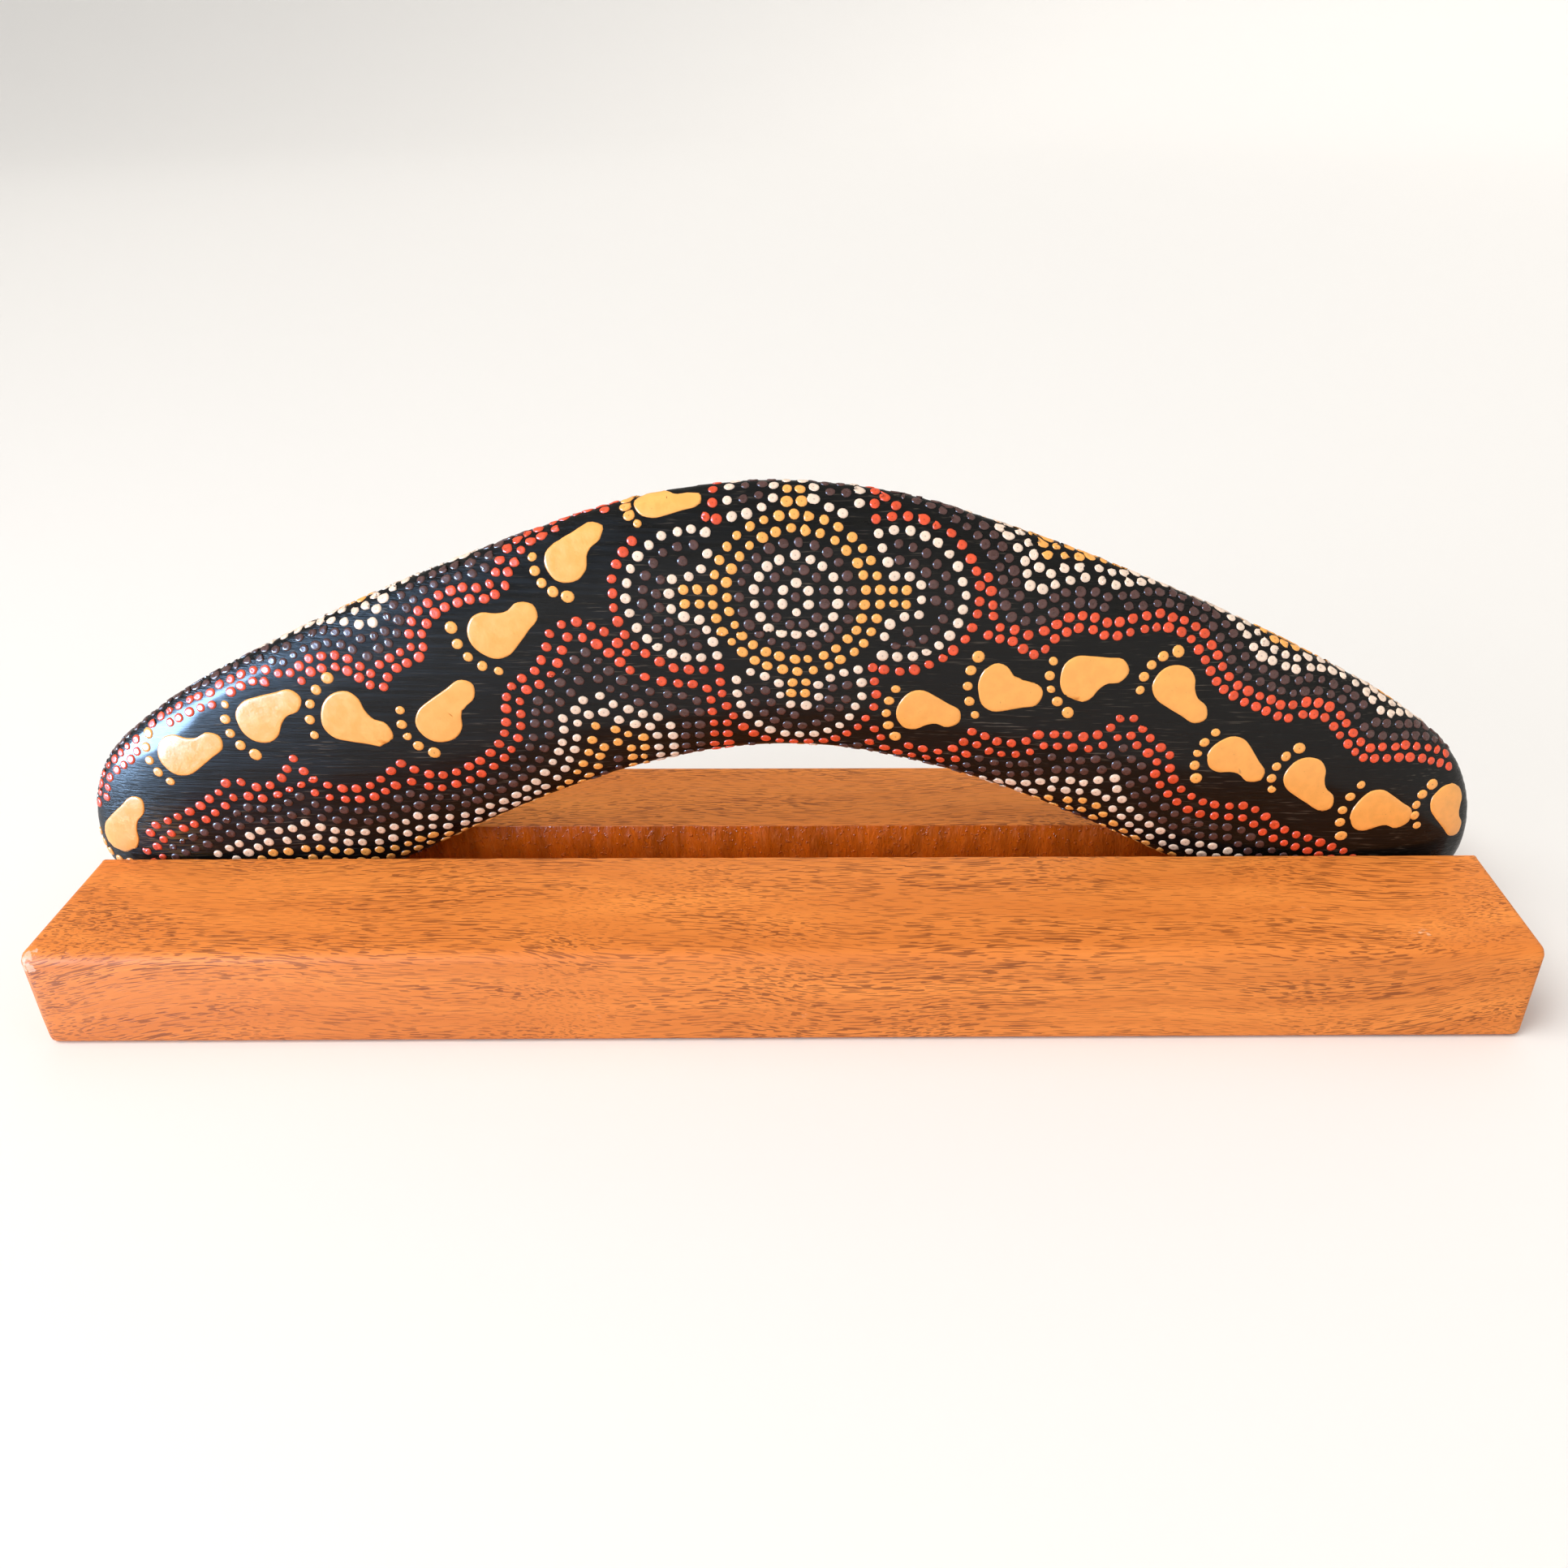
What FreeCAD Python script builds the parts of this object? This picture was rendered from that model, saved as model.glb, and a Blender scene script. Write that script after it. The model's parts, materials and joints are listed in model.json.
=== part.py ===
"""A carved wooden boomerang standing in a grooved wooden display block.

The frame is the block's: X runs along the block, Y from its front to its back and Z up, with the origin
in the middle of the face that it rests on. The boomerang stands on edge in the groove, elbow up. Sizes
are millimetres and angles are degrees.
"""

import FreeCAD
import Part

import math
import os

V = FreeCAD.Vector

# The display block: one length of timber, grooved right through from end to end.
BLOCK_LENGTH = 402.0
BLOCK_HEIGHT = 30.0
FRONT_RAIL_DEPTH = 45.6  # from the front face to the groove
BACK_RAIL_DEPTH = 37.2  # from the groove to the back face
GROOVE_FLOOR = 8.7  # timber left under the groove
BLOCK_TOP_RADIUS = 3.5  # along the top's front and back edges
BLOCK_FOOT_RADIUS = 2.0  # along the underside's front and back edges
BLOCK_END_RADIUS = 1.8  # around each end
GROOVE_LIP_RADIUS = 0.6

# The boomerang: a bow with blunt round tips and an oval section.
SPAN = 403.3
ELBOW_WIDTH = 76.4
THICKNESS = 16.0
GROOVE_CLEARANCE = 0.6  # each side of the boomerang
SEAT_GAP = 0.3  # between the groove's floor and the boomerang's lowest edge
BOOMERANG_SHIFT = -2.0  # along X, off the block's middle

# Its outer edge, from the elbow to the tip: arcs that each end at a heading below level.
ELBOW_OUTER_RADIUS = 152.5
ELBOW_HEADING = 18.0
ARM_HEADING = 28.4
SHOULDER_RADIUS = 167.0
SHOULDER_HEADING = 39.4
TIP_RADIUS = 45.2
TIP_LOWER_RADIUS = 22.5

# Its inner edge: one free curve from the arch to where the tip lies level in the groove.
SEAT_LENGTH = 27.0
ARCH_HANDLE = 63.0
SEAT_HANDLE = 23.0

RIBS_PER_ARM = 24
RIBS_PAST_ELBOW = 4  # of the other arm, so that an arm is already level where the two meet
TIP_DEPTH = 38.0  # how far from the tip's end the full thickness starts

half_span = SPAN / 2
groove_width = THICKNESS + 2 * GROOVE_CLEARANCE
block_depth = FRONT_RAIL_DEPTH + groove_width + BACK_RAIL_DEPTH
groove_front = -block_depth / 2 + FRONT_RAIL_DEPTH
groove_back = groove_front + groove_width
boomerang_place = V(BOOMERANG_SHIFT, (groove_front + groove_back) / 2, GROOVE_FLOOR + SEAT_GAP)


def sin(angle):
    return math.sin(math.radians(angle))


def cos(angle):
    return math.cos(math.radians(angle))


def outer_arcs():
    """(radius, heading at its start, heading at its end) of each arc of the outer edge.

    The arm's own radius is what the span leaves for it.
    """
    elbow = (ELBOW_OUTER_RADIUS, 0.0, ELBOW_HEADING)
    shoulder = (SHOULDER_RADIUS, ARM_HEADING, SHOULDER_HEADING)
    tip = (TIP_RADIUS, SHOULDER_HEADING, 90.0)
    taken = sum(radius * (sin(end) - sin(start)) for radius, start, end in (elbow, shoulder, tip))
    arm_radius = (half_span - taken) / (sin(ARM_HEADING) - sin(ELBOW_HEADING))
    return [elbow, (arm_radius, ELBOW_HEADING, ARM_HEADING), shoulder, tip]


def arc_edge(start, radius, heading, end_heading):
    """An arc that bends down and back from start, and the point where it ends. Headings are below level."""
    centre = start - V(radius * sin(heading), 0, radius * cos(heading))

    def at(angle):
        return centre + V(radius * sin(angle), 0, radius * cos(angle))

    return Part.Arc(start, at((heading + end_heading) / 2), at(end_heading)).toShape(), at(end_heading)


def outer_edge():
    """The upper edge of the right arm, from the elbow's top to the tip's end."""
    arcs = outer_arcs()
    rise = TIP_LOWER_RADIUS + sum(radius * (cos(start) - cos(end)) for radius, start, end in arcs)
    point = V(0, 0, rise)
    edges = []
    for radius, start, end in arcs:
        edge, point = arc_edge(point, radius, start, end)
        edges.append(edge)
    return edges, rise


def inner_edge(rise):
    """The lower edge of the right arm, from the arch's top to the tip's end."""
    arch = V(0, 0, rise - ELBOW_WIDTH)
    corner = V(half_span - TIP_LOWER_RADIUS, 0, 0)
    seat = corner - V(SEAT_LENGTH, 0, 0)
    bow = Part.BezierCurve()
    bow.setPoles([arch, arch + V(ARCH_HANDLE, 0, 0), seat - V(SEAT_HANDLE, 0, 0), seat])
    tip_end = V(half_span, 0, TIP_LOWER_RADIUS)
    bend = V(half_span - TIP_LOWER_RADIUS * (1 - sin(45)), 0, TIP_LOWER_RADIUS * (1 - cos(45)))
    return [bow.toShape(), Part.makeLine(seat, corner), Part.Arc(corner, bend, tip_end).toShape()]


def point_along(edges, share):
    """The point at this share of the length of a chain of edges."""
    distance = share * sum(edge.Length for edge in edges)
    for edge in edges:
        if distance <= edge.Length:
            break
        distance -= edge.Length
    return edge.valueAt(edge.getParameterByLength(distance))


def rib(upper, lower, tip_end):
    """The oval section between two facing points of the edges. It thins out towards the tip's end."""
    middle = (upper + lower) / 2
    reach = min((tip_end - middle).Length / TIP_DEPTH, 1.0)
    half_thickness = THICKNESS / 2 * math.sqrt(1 - (1 - reach) ** 2)
    oval = Part.Ellipse(upper, middle + V(0, half_thickness, 0), middle)
    return Part.Wire([oval.toShape()])


def arm_sections(side):
    """One arm's ribs from the elbow out, with the tip's end last. side is 1 to the right, -1 to the left."""
    outer, rise = outer_edge()
    inner = inner_edge(rise)
    tip_end = V(side * half_span, 0, TIP_LOWER_RADIUS)
    ribs = []
    for index in range(RIBS_PER_ARM):
        share = sin(90 * index / RIBS_PER_ARM)  # closer together towards the tip
        upper, lower = point_along(outer, share), point_along(inner, share)
        for point in (upper, lower):
            point.x *= side
        ribs.append(rib(upper, lower, tip_end))
    return ribs + [Part.Vertex(tip_end)]


def boomerang():
    """A smooth solid through one arm's ribs, closed to a point at the tip's end, and its mirror image."""
    left, right = arm_sections(-1), arm_sections(1)
    arm = Part.makeLoft(left[RIBS_PAST_ELBOW:0:-1] + right, True)
    right_side = Part.makeBox(SPAN, 2 * THICKNESS, SPAN, V(0, -THICKNESS, -SPAN / 2))
    arm = arm.common(right_side)
    body = arm.fuse(arm.mirror(V(0, 0, 0), V(1, 0, 0))).Solids[0]
    body.translate(boomerang_place)
    return body


def edges_between(shape, low, high):
    """The shape's edges that lie wholly inside the box between these two corners."""
    slack = V(0.01, 0.01, 0.01)
    box = FreeCAD.BoundBox(low - slack, high + slack)
    return [edge for edge in shape.Edges if box.isInside(edge.BoundBox)]


def stand_block():
    """The block: softly rounded outside, with a groove cut through it for the boomerang."""
    half_length, half_depth = BLOCK_LENGTH / 2, block_depth / 2
    block = Part.makeBox(BLOCK_LENGTH, block_depth, BLOCK_HEIGHT, V(-half_length, -half_depth, 0))
    for level, radius in ((BLOCK_HEIGHT, BLOCK_TOP_RADIUS), (0, BLOCK_FOOT_RADIUS)):
        for side in (-half_depth, half_depth):
            long_edge = edges_between(block, V(-half_length, side, level), V(half_length, side, level))
            block = block.makeFillet(radius, long_edge)
    for end in (-half_length, half_length):
        around = edges_between(block, V(end, -half_depth, 0), V(end, half_depth, BLOCK_HEIGHT))
        block = block.makeFillet(BLOCK_END_RADIUS, around)
    groove_corner = V(-half_length, groove_front, GROOVE_FLOOR)
    block = block.cut(Part.makeBox(BLOCK_LENGTH, groove_width, BLOCK_HEIGHT, groove_corner))
    for side in (groove_front, groove_back):
        lip = edges_between(block, V(-half_length, side, BLOCK_HEIGHT), V(half_length, side, BLOCK_HEIGHT))
        block = block.makeFillet(GROOVE_LIP_RADIUS, lip)
    return block


def main():
    os.makedirs("parts", exist_ok=True)
    for name, shape in (("stand_block", stand_block()), ("boomerang", boomerang())):
        print(f"{name}: {len(shape.Solids)} solid, valid {shape.isValid()}, {shape.Volume / 1000:.1f} cm3")
        shape.exportStep(f"parts/{name}.step")


main()
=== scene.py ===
"""A dot-painted boomerang standing in the groove of a hardwood display block.

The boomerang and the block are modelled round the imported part, in its frame and in metres. The painting is
laid out flat on a sheet, as rows of dots, and then wrapped round the wood.
"""

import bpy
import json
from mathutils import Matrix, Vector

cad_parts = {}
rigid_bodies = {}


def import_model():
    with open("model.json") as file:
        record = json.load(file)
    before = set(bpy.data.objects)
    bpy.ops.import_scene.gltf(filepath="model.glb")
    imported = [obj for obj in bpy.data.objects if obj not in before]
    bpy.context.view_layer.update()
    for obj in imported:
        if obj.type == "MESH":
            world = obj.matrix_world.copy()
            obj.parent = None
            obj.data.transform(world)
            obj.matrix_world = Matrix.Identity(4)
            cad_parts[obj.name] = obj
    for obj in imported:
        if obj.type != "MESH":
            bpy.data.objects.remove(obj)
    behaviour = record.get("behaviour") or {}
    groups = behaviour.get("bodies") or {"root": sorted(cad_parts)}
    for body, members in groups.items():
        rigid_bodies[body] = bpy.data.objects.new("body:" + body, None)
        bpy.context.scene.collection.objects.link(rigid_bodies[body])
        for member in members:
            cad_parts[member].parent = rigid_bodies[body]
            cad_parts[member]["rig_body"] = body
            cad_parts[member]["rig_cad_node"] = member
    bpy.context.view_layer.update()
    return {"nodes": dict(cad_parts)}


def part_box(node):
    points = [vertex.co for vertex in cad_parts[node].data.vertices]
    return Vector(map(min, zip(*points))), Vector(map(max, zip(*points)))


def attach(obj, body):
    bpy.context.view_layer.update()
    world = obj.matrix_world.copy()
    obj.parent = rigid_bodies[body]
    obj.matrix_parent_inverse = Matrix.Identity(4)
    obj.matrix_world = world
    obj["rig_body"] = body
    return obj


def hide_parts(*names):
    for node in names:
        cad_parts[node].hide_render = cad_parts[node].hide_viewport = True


bl_info = {
    "name": "Dot-painted boomerang",
    "version": (1, 0, 0),
    "blender": (4, 5, 0),
    "location": "3D View > Sidebar > Boomerang",
    "description": "Models a dot-painted boomerang and the grooved block that it stands in",
    "category": "Add Mesh",
}

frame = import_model()

import json
import math
import random

import bmesh
import bpy
from bpy.props import FloatProperty, FloatVectorProperty, IntProperty, PointerProperty
from mathutils import Matrix, Vector, noise
from mathutils.bvhtree import BVHTree
from mathutils.kdtree import KDTree

MM = 0.001

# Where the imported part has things.
WOOD_LOW, WOOD_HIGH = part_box("boomerang")
BLOCK_LOW, BLOCK_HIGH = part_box("stand_block")
WOOD_MIDDLE = (WOOD_LOW + WOOD_HIGH) / 2


def measured_groove():
    """The groove's front wall, back wall and floor, felt for from a point inside it."""
    node = frame["nodes"]["stand_block"]
    feeler = BVHTree.FromObject(node, bpy.context.evaluated_depsgraph_get())
    inside = Vector((0, WOOD_MIDDLE.y, BLOCK_HIGH.z - 5 * MM))
    front, back, floor = (feeler.ray_cast(inside, Vector(way))[0] for way in ((0, -1, 0), (0, 1, 0), (0, 0, -1)))
    return front.y, back.y, floor.z


GROOVE_FRONT, GROOVE_BACK, GROOVE_FLOOR = measured_groove()

# ---------------------------------------------------------------------------------------------
# The sizes and colours that a user would change
# ---------------------------------------------------------------------------------------------


def colour_setting(name, description, default):
    return FloatVectorProperty(
        name=name, description=description, default=default, size=3, min=0.0, max=1.0, subtype="COLOR"
    )


def length_setting(name, description, default):
    return FloatProperty(name=name, description=description, default=default, min=0.0, unit="LENGTH", precision=5)


class PaintSettings(bpy.types.PropertyGroup):
    """The painting on the boomerang."""

    dot_size: length_setting("Dot size", "Diameter of a usual dot", 2.75 * MM)
    row_pitch: length_setting("Row pitch", "From one dot to the next, and from one row to the next", 3.9 * MM)
    least_gap: length_setting("Least gap", "The nearest that two dots may be, middle to middle", 2.95 * MM)
    dot_height: length_setting("Dot height", "How far a dot stands above the wood", 0.32 * MM)
    footprint_height: length_setting("Footprint height", "Thickness of the paint in a footprint", 0.28 * MM)
    wrap: length_setting("Wrap", "How far the rows run round the edges onto the back", 4.0 * MM)
    seed: IntProperty(name="Seed", description="Picks another uneven hand", default=7, min=0)
    black: colour_setting("Black", "The ground", (0.004, 0.0038, 0.0032))
    red: colour_setting("Red", "The rows beside the track", (0.88, 0.1, 0.03))
    white: colour_setting("White", "The rows outside the brown ones", (0.92, 0.73, 0.59))
    ochre: colour_setting("Ochre", "Footprints and innermost rows", (0.98, 0.45, 0.105))
    brown: colour_setting("Brown", "The rows that fill the ground", (0.105, 0.048, 0.042))


class BlockSettings(bpy.types.PropertyGroup):
    """The display block."""

    top_round: length_setting("Top rounding", "Radius along the top's front and back edges", 3.5 * MM)
    foot_round: length_setting("Foot rounding", "Radius along the underside's edges", 2.0 * MM)
    end_round: length_setting("End rounding", "Radius round each end", 2.2 * MM)
    lip_round: length_setting("Lip rounding", "Radius along the groove's mouth", 0.6 * MM)
    chatter: length_setting("Cutter marks", "Depth of the marks that the cutter left in the groove", 0.4 * MM)
    light_wood: colour_setting("Light wood", "The pale bands of the grain", (0.85, 0.285, 0.055))
    dark_wood: colour_setting("Dark wood", "The deep bands of the grain", (0.66, 0.195, 0.034))
    pores: colour_setting("Pores", "The short dark flecks along the grain", (0.12, 0.026, 0.007))
    cut_wood: colour_setting("Cut wood", "The rough walls of the groove", (0.7, 0.155, 0.008))


class StageSettings(bpy.types.PropertyGroup):
    """Floor, lights and camera."""

    floor: colour_setting("Floor", "The plain floor", (0.8, 0.795, 0.785))
    key: FloatProperty(name="Key", description="Strength of the soft light from the upper left", default=2.1)
    room: FloatProperty(name="Room", description="Strength of the even light all round", default=0.64)
    window: FloatProperty(name="Window", description="Power of the cool window at the left, in watts", default=60.0)
    fill: FloatProperty(name="Fill", description="Power of the soft light at the front left, in watts", default=4.6)
    lens: FloatProperty(name="Lens", description="Focal length in mm on a 36 mm frame", default=29.7)


# ---------------------------------------------------------------------------------------------
# Modelling by hand: selection, modifiers, finishing
# ---------------------------------------------------------------------------------------------


def pick(*objects):
    """Selects only these objects. The last is the active one."""
    bpy.ops.object.select_all(action="DESELECT")
    for item in objects:
        item.select_set(True)
    bpy.context.view_layer.objects.active = objects[-1]


def apply_modifier(piece, kind, **settings):
    modifier = piece.modifiers.new(kind.lower(), kind)
    for name, value in settings.items():
        setattr(modifier, name, value)
    pick(piece)
    bpy.ops.object.modifier_apply(modifier=modifier.name)


def apply_place(piece):
    pick(piece)
    bpy.ops.object.transform_apply(location=True, rotation=True, scale=True)


def edit(piece, mode="FACE"):
    """Opens a piece for editing with nothing selected."""
    pick(piece)
    bpy.ops.object.mode_set(mode="EDIT")
    bpy.ops.mesh.select_mode(type=mode)
    bpy.ops.mesh.select_all(action="DESELECT")
    bpy.ops.object.mode_set(mode="OBJECT")


def edit_selected(*steps):
    """Runs edit-mode steps, (operator, settings) each, on what is selected."""
    bpy.ops.object.mode_set(mode="EDIT")
    for operator, settings in steps:
        operator(**settings)
    bpy.ops.object.mode_set(mode="OBJECT")


def finish_piece(piece, name, body, material):
    piece.name = piece.data.name = name
    piece.data.materials.clear()
    piece.data.materials.append(material)
    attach(piece, body)
    return piece


# ---------------------------------------------------------------------------------------------
# Materials
# ---------------------------------------------------------------------------------------------


class Recipe:
    """A material's node tree, with short calls for the nodes that the finishes share."""

    def __init__(self, name):
        self.material = bpy.data.materials.new(name)
        self.material.use_nodes = True
        self.nodes = self.material.node_tree.nodes
        self.shader = self.nodes["Principled BSDF"]
        self.place = self.nodes.new("ShaderNodeTexCoord").outputs["Object"]

    def join(self, source, socket):
        self.material.node_tree.links.new(source, socket)

    def set(self, **values):
        """Constants on the shader's own sockets, such as Coat_Weight=0.4."""
        for name, value in values.items():
            self.shader.inputs[name.replace("_", " ")].default_value = value

    def stretched(self, scale, place=None):
        """Coordinates multiplied along each axis, so that a pattern of size 1 is 1 / scale metres."""
        node = self.nodes.new("ShaderNodeMapping")
        node.inputs["Scale"].default_value = scale
        self.join(place or self.place, node.inputs["Vector"])
        return node.outputs["Vector"]

    def noise(self, scale, detail=3.0, roughness=0.55, place=None):
        """Noise from 0 to 1 with a grain of 1 / scale metres along each axis."""
        node = self.nodes.new("ShaderNodeTexNoise")
        node.inputs["Scale"].default_value = 1.0
        node.inputs["Detail"].default_value = detail
        node.inputs["Roughness"].default_value = roughness
        self.join(self.stretched(scale, place), node.inputs["Vector"])
        return node.outputs["Fac"]

    def ramp(self, source, low, high, start=0.0, end=1.0):
        """source from low to high becomes start to end, with soft ends."""
        node = self.nodes.new("ShaderNodeMapRange")
        node.interpolation_type = "SMOOTHSTEP"
        for name, value in (("From Min", low), ("From Max", high), ("To Min", start), ("To Max", end)):
            node.inputs[name].default_value = value
        self.join(source, node.inputs["Value"])
        return node.outputs["Result"]

    def maths(self, kind, first, second=0.0):
        node = self.nodes.new("ShaderNodeMath")
        node.operation = kind
        for socket, value in zip(node.inputs, (first, second)):
            if isinstance(value, (int, float)):
                socket.default_value = value
            else:
                self.join(value, socket)
        return node.outputs["Value"]

    def mix(self, share, first, second):
        """Two colours, each a socket or a plain colour."""
        node = self.nodes.new("ShaderNodeMix")
        node.data_type = "RGBA"
        self.join(share, node.inputs["Factor"])
        for name, value in (("A", first), ("B", second)):
            socket = next(s for s in node.inputs if s.name == name and s.type == "RGBA")
            if isinstance(value, bpy.types.NodeSocket):
                self.join(value, socket)
            else:
                socket.default_value = (*value, 1.0)
        return next(s for s in node.outputs if s.type == "RGBA")

    def distance(self, spot, place=None):
        """Metres from a point."""
        node = self.nodes.new("ShaderNodeVectorMath")
        node.operation = "DISTANCE"
        node.inputs[1].default_value = spot
        self.join(place or self.place, node.inputs[0])
        return node.outputs["Value"]

    def growth_rings(self, place, heart, width):
        """Uneven rings round a line along X through the tree's heart, from 0 to 1 and back."""
        radius = self.distance((0.0, *heart), self.stretched((0.0, 1.0, 1.0), place))
        uneven = self.ramp(self.noise((7, 60, 60)), 0, 1, 0, 1.2 * width)
        turns = self.maths("MULTIPLY", self.maths("ADD", radius, uneven), 2 * math.pi / width)
        return self.ramp(self.maths("SINE", turns), -0.6, 1.0)

    def near(self, spot, reach):
        """1 at a point, falling to 0 at reach metres from it."""
        return self.ramp(self.distance(spot), 0.0, reach, 1.0, 0.0)

    def relief(self, *layers):
        """Bump from (height, depth in metres) layers, one on another."""
        normal = None
        for height, depth in layers:
            node = self.nodes.new("ShaderNodeBump")
            node.inputs["Distance"].default_value = depth
            self.join(height, node.inputs["Height"])
            if normal:
                self.join(normal, node.inputs["Normal"])
            normal = node.outputs["Normal"]
        self.join(normal, self.shader.inputs["Normal"])

    def paint(self, colour, roughness):
        self.join(colour, self.shader.inputs["Base Color"])
        self.join(roughness, self.shader.inputs["Roughness"])
        return self.material


DUST = (0.12, 0.1, 0.078)
WORN_TIMBER = (0.2, 0.12, 0.035)
SCUFFED_WOOD = (0.9, 0.62, 0.42)
SPLINTERED_WOOD = (0.85, 0.54, 0.4)
WORN_SPOT = (WOOD_LOW.x + 24 * MM, WOOD_LOW.y, 36 * MM)  # on the front of the left tip
WORN_REACH = 16 * MM
TREE_HEART = (WOOD_MIDDLE.y + 40 * MM, -130 * MM)  # Y and Z, under the block's back half
RING_WIDTH = 6.5 * MM


def black_lacquer(settings):
    """Black paint over the timber's grain, under worn satin lacquer."""
    recipe = Recipe("black_lacquer")
    grain = recipe.noise((18, 500, 900), detail=4)
    streaks = recipe.noise((110, 1500, 2600), detail=2)
    cloud = recipe.noise((40, 40, 40))
    dusty = recipe.maths("MULTIPLY", recipe.ramp(streaks, 0.6, 0.72), recipe.ramp(cloud, 0.42, 0.62, 0.15, 1.0))
    worn = recipe.maths("MULTIPLY", recipe.near(WORN_SPOT, WORN_REACH), recipe.ramp(streaks, 0.45, 0.6))
    ground = recipe.mix(recipe.maths("MULTIPLY", dusty, 0.65), tuple(settings.black), DUST)
    ground = recipe.mix(recipe.maths("MULTIPLY", worn, 0.5), ground, WORN_TIMBER)
    gloss = recipe.maths("ADD", recipe.ramp(grain, 0.35, 0.7, 0.24, 0.42), recipe.ramp(cloud, 0.3, 0.7, 0.0, 0.1))
    recipe.relief((grain, 0.16 * MM), (streaks, 0.14 * MM))
    recipe.set(Specular_IOR_Level=0.1, Coat_Weight=0.26, Coat_Roughness=0.12)
    return recipe.paint(ground, gloss)


def acrylic(name, colour, shade, gloss=0.36):
    """Thick paint that dried a little uneven: specked and darker where it is thin, with painted shade in the dots'
    hollows.
    """
    recipe = Recipe(name)
    blotches = recipe.noise((330, 330, 330), detail=2)
    specks = recipe.noise((1500, 1500, 1500), detail=2)
    tone = recipe.mix(recipe.ramp(blotches, 0.3, 0.7), tuple(c * shade for c in colour), tuple(colour))
    tone = recipe.mix(recipe.ramp(specks, 0.68, 0.8, 0.0, 0.6), tone, tuple(c * 0.35 for c in colour))
    # Painted shade: the colour falls to 0.3 of itself in the dimple at each dot's middle.
    hollow = recipe.nodes.new("ShaderNodeAttribute")
    hollow.attribute_name = "hollow"
    tone = recipe.mix(recipe.ramp(hollow.outputs["Fac"], 0.5, 0.9, 0.0, 0.55), tone, tuple(c * 0.3 for c in colour))
    recipe.relief((blotches, 0.12 * MM), (specks, 0.03 * MM))
    recipe.set(Specular_IOR_Level=0.35, Coat_Weight=0.25, Coat_Roughness=0.15)
    return recipe.paint(tone, recipe.ramp(blotches, 0.25, 0.75, gloss - 0.08, gloss + 0.1))


def lacquered_hardwood(settings):
    """Red-brown hardwood: soft bands and short dark pores along X, satin lacquer, a few scuffs."""
    recipe = Recipe("lacquered_hardwood")
    wander = recipe.nodes.new("ShaderNodeCombineXYZ")
    recipe.join(recipe.ramp(recipe.noise((8, 9, 9), detail=1), 0.2, 0.8, -9 * MM, 9 * MM), wander.inputs["Y"])
    recipe.join(recipe.ramp(recipe.noise((9, 12, 7), detail=1), 0.2, 0.8, -7 * MM, 7 * MM), wander.inputs["Z"])
    bent = recipe.nodes.new("ShaderNodeVectorMath")
    recipe.join(recipe.place, bent.inputs[0])
    recipe.join(wander.outputs["Vector"], bent.inputs[1])
    along = bent.outputs["Vector"]

    bands = recipe.noise((5, 45, 70), detail=4, roughness=0.6, place=along)
    rings = recipe.growth_rings(along, TREE_HEART, RING_WIDTH)
    fibres = recipe.noise((50, 1300, 1500), detail=3, place=along)
    pores = recipe.noise((200, 2500, 2800), detail=0, place=along)
    flecks = recipe.noise((110, 1900, 2100), detail=0, place=along)
    crowd = recipe.noise((14, 70, 110), detail=2, place=along)
    pore = recipe.maths("MULTIPLY", recipe.ramp(pores, 0.59, 0.65), recipe.ramp(crowd, 0.34, 0.6, 0.4, 1.0))
    fleck = recipe.maths("MULTIPLY", recipe.ramp(flecks, 0.64, 0.7), recipe.ramp(crowd, 0.4, 0.62, 0.1, 1.0))

    dark, light, pored = (tuple(c) for c in (settings.dark_wood, settings.light_wood, settings.pores))
    wood = recipe.mix(recipe.ramp(bands, 0.3, 0.7), dark, light)
    wood = recipe.mix(recipe.maths("MULTIPLY", rings, 0.35), wood, dark)
    wood = recipe.mix(recipe.ramp(fibres, 0.35, 0.7, 0.4, 0.0), wood, dark)
    wood = recipe.mix(recipe.maths("MULTIPLY", recipe.maths("MAXIMUM", pore, fleck), 0.66), wood, pored)
    scuff = recipe.maths("MULTIPLY", recipe.ramp(recipe.noise((45, 60, 60), detail=2), 0.7, 0.76),
                         recipe.ramp(recipe.noise((500, 900, 900)), 0.5, 0.6, 0.0, 0.6))
    wood = recipe.mix(scuff, wood, SCUFFED_WOOD)
    corner = (BLOCK_LOW.x + 3 * MM, BLOCK_LOW.y + 3 * MM, BLOCK_HIGH.z - 3 * MM)
    ragged = recipe.maths("ADD", recipe.near(corner, 6 * MM), recipe.ramp(recipe.noise((350, 350, 350)), 0.2, 0.8))
    wood = recipe.mix(recipe.ramp(ragged, 1.0, 1.12, 0.0, 0.6), wood, SPLINTERED_WOOD)

    recipe.relief((fibres, 0.03 * MM), (recipe.maths("SUBTRACT", 1.0, pore), 0.04 * MM))
    recipe.set(Specular_IOR_Level=0.2)
    return recipe.paint(wood, recipe.ramp(fibres, 0.3, 0.7, 0.52, 0.68))


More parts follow.
